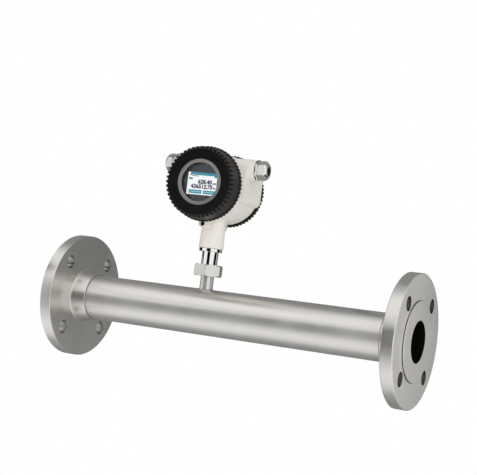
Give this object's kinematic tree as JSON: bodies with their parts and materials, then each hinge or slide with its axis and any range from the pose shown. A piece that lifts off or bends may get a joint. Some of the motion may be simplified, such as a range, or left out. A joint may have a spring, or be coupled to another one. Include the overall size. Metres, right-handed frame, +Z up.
{
  "type": "thermal mass flow meter",
  "caption": "In-line thermal mass flow meter: flanged stainless measuring pipe, union-held sensor probe, and a round transmitter head with a display and screw covers.",
  "frame": {"origin": "centre of the inlet flange's raised face, on the pipe axis", "axes": "+X along the flow from the inlet to the outlet, +Z up the stem to the head, +Y to the rear of the head as seen from the display"},
  "size_m": [0.5, 0.165, 0.295],
  "materials": {
    "brushed_stainless": "turned and brushed, satin",
    "turned_stainless": "lathe-turned, satin",
    "weld_metal": "brushed weld bead",
    "nut_steel": "bead-blasted, satin",
    "polished_steel": "polished stainless steel",
    "sensor_steel": "fine-ground",
    "ptfe": "matte white",
    "bronze": "plain",
    "paint": "warm off-white powder coat, fine orange peel",
    "cover_paint": "near-black powder coat, semi-matte",
    "bezel_metal": "grey anodised, satin",
    "glass": "clear toughened glass",
    "rubber": "matte black rubber",
    "mask": "dark slate printed film",
    "lcd": "lit display picture",
    "board": "green solder mask",
    "components": "moulded component bodies",
    "brass_fittings": "nickel-free brass",
    "screw_steel": "zinc-plated",
    "lock_steel": "black-oxide",
    "carrier_plastic": "moulded, matte",
    "terminal_plastic": "moulded green",
    "cable_sleeve": "soft cable jacket",
    "gland_metal": "nickel-plated, bright"
  },
  "bodies": {
    "spool": {"measuring_pipe": "brushed_stainless", "inlet_flange": "turned_stainless", "outlet_flange": "turned_stainless", "inlet_weld": "weld_metal", "outlet_weld": "weld_metal", "branch_stub": "turned_stainless", "stub_weld": "weld_metal", "union_gasket": "ptfe"},
    "union_ring": {"union_slip_ring": "bronze"},
    "union_nut": {"union_nut": "nut_steel"},
    "probe": {"probe_tube": "polished_steel", "sensor_rod": "sensor_steel", "sensor_guard": "sensor_steel", "heated_tip": "sensor_steel", "reference_tip": "sensor_steel", "probe_connector": "components"},
    "head": {"housing": "paint", "display_mask": "mask", "display_panel": "lcd", "display_board": "board", "main_board": "board", "power_board": "board", "board_standoffs": "brass_fittings", "board_screws": "screw_steel", "main_board_parts": "components", "power_board_parts": "components", "terminal_carrier": "carrier_plastic", "terminal_block": "terminal_plastic", "terminal_screws": "screw_steel", "earth_screw": "brass_fittings", "sensor_lead": "cable_sleeve", "right_gland_body": "gland_metal", "right_gland_seal": "rubber", "left_gland_body": "gland_metal", "left_gland_seal": "rubber"},
    "front_lock": {"front_lock_screw": "lock_steel"},
    "rear_lock": {"rear_lock_screw": "lock_steel"},
    "front_seal": {"front_oring": "rubber"},
    "front_cover": {"front_cover": "cover_paint", "window_bezel": "bezel_metal", "window_glass": "glass", "window_gasket": "rubber"},
    "rear_seal": {"rear_oring": "rubber"},
    "rear_cover": {"rear_cover": "cover_paint"},
    "right_gland_ring": {"right_gland_washer": "gland_metal"},
    "right_gland_cap": {"right_gland_cap": "gland_metal"},
    "left_gland_ring": {"left_gland_washer": "gland_metal"},
    "left_gland_cap": {"left_gland_cap": "gland_metal"}
  },
  "joints": [
    {"name": "probe_lift", "type": "slide", "parent": "spool", "child": "probe", "axis": [0, 0, 1], "range_m": [0, 0.075]},
    {"name": "head_swivel", "type": "hinge", "parent": "probe", "child": "head", "pos_m": [0.205, 0, 0.0839], "axis": [0, 0, 1], "range_deg": [-160, 160]},
    {"name": "union_nut_turn", "type": "hinge", "parent": "spool", "child": "union_ring", "pos_m": [0.205, 0, 0.0545], "axis": [0, 0, -1], "range_deg": [0, 1890]},
    {"name": "union_nut_travel", "type": "slide", "parent": "union_ring", "child": "union_nut", "axis": [0, 0, -1], "range_m": [0, 0.00957]},
    {"name": "front_cover_turn", "type": "hinge", "parent": "head", "child": "front_seal", "pos_m": [0.21109, -0.04963, 0.164], "axis": [0.1219, -0.9925, 0], "range_deg": [0, 2520]},
    {"name": "front_cover_travel", "type": "slide", "parent": "front_seal", "child": "front_cover", "axis": [0.1219, -0.9925, 0], "range_m": [0, 0.01405]},
    {"name": "rear_cover_turn", "type": "hinge", "parent": "head", "child": "rear_seal", "pos_m": [0.19964, 0.04367, 0.164], "axis": [-0.1219, 0.9925, 0], "range_deg": [0, 1800]},
    {"name": "rear_cover_travel", "type": "slide", "parent": "rear_seal", "child": "rear_cover", "axis": [-0.1219, 0.9925, 0], "range_m": [0, 0.01005]},
    {"name": "right_gland_turn", "type": "hinge", "parent": "head", "child": "right_gland_ring", "pos_m": [0.27197, -0.00387, 0.1903], "axis": [0.9925, 0.1219, 0], "range_deg": [0, 1080]},
    {"name": "right_gland_travel", "type": "slide", "parent": "right_gland_ring", "child": "right_gland_cap", "axis": [0.9925, 0.1219, 0], "range_m": [0, 0.00455]},
    {"name": "left_gland_turn", "type": "hinge", "parent": "head", "child": "left_gland_ring", "pos_m": [0.14095, -0.01995, 0.1903], "axis": [-0.9925, -0.1219, 0], "range_deg": [0, 1080]},
    {"name": "left_gland_travel", "type": "slide", "parent": "left_gland_ring", "child": "left_gland_cap", "axis": [-0.9925, -0.1219, 0], "range_m": [0, 0.00455]},
    {"name": "front_lock_turn", "type": "hinge", "parent": "head", "child": "front_lock", "pos_m": [0.20914, -0.03375, 0.1136], "axis": [0.1219, -0.9925, 0], "range_deg": [0, 360]},
    {"name": "rear_lock_turn", "type": "hinge", "parent": "head", "child": "rear_lock", "pos_m": [0.20147, 0.02878, 0.1136], "axis": [-0.1219, 0.9925, 0], "range_deg": [0, 360]}
  ],
  "couplings": [
    {"joint": "union_nut_travel", "follows": "union_nut_turn", "m_per_rad": 0.00028871},
    {"joint": "front_cover_travel", "follows": "front_cover_turn", "m_per_rad": 0.00031831},
    {"joint": "rear_cover_travel", "follows": "rear_cover_turn", "m_per_rad": 0.00031831},
    {"joint": "right_gland_travel", "follows": "right_gland_turn", "m_per_rad": 0.00023873},
    {"joint": "left_gland_travel", "follows": "left_gland_turn", "m_per_rad": 0.00023873}
  ]
}
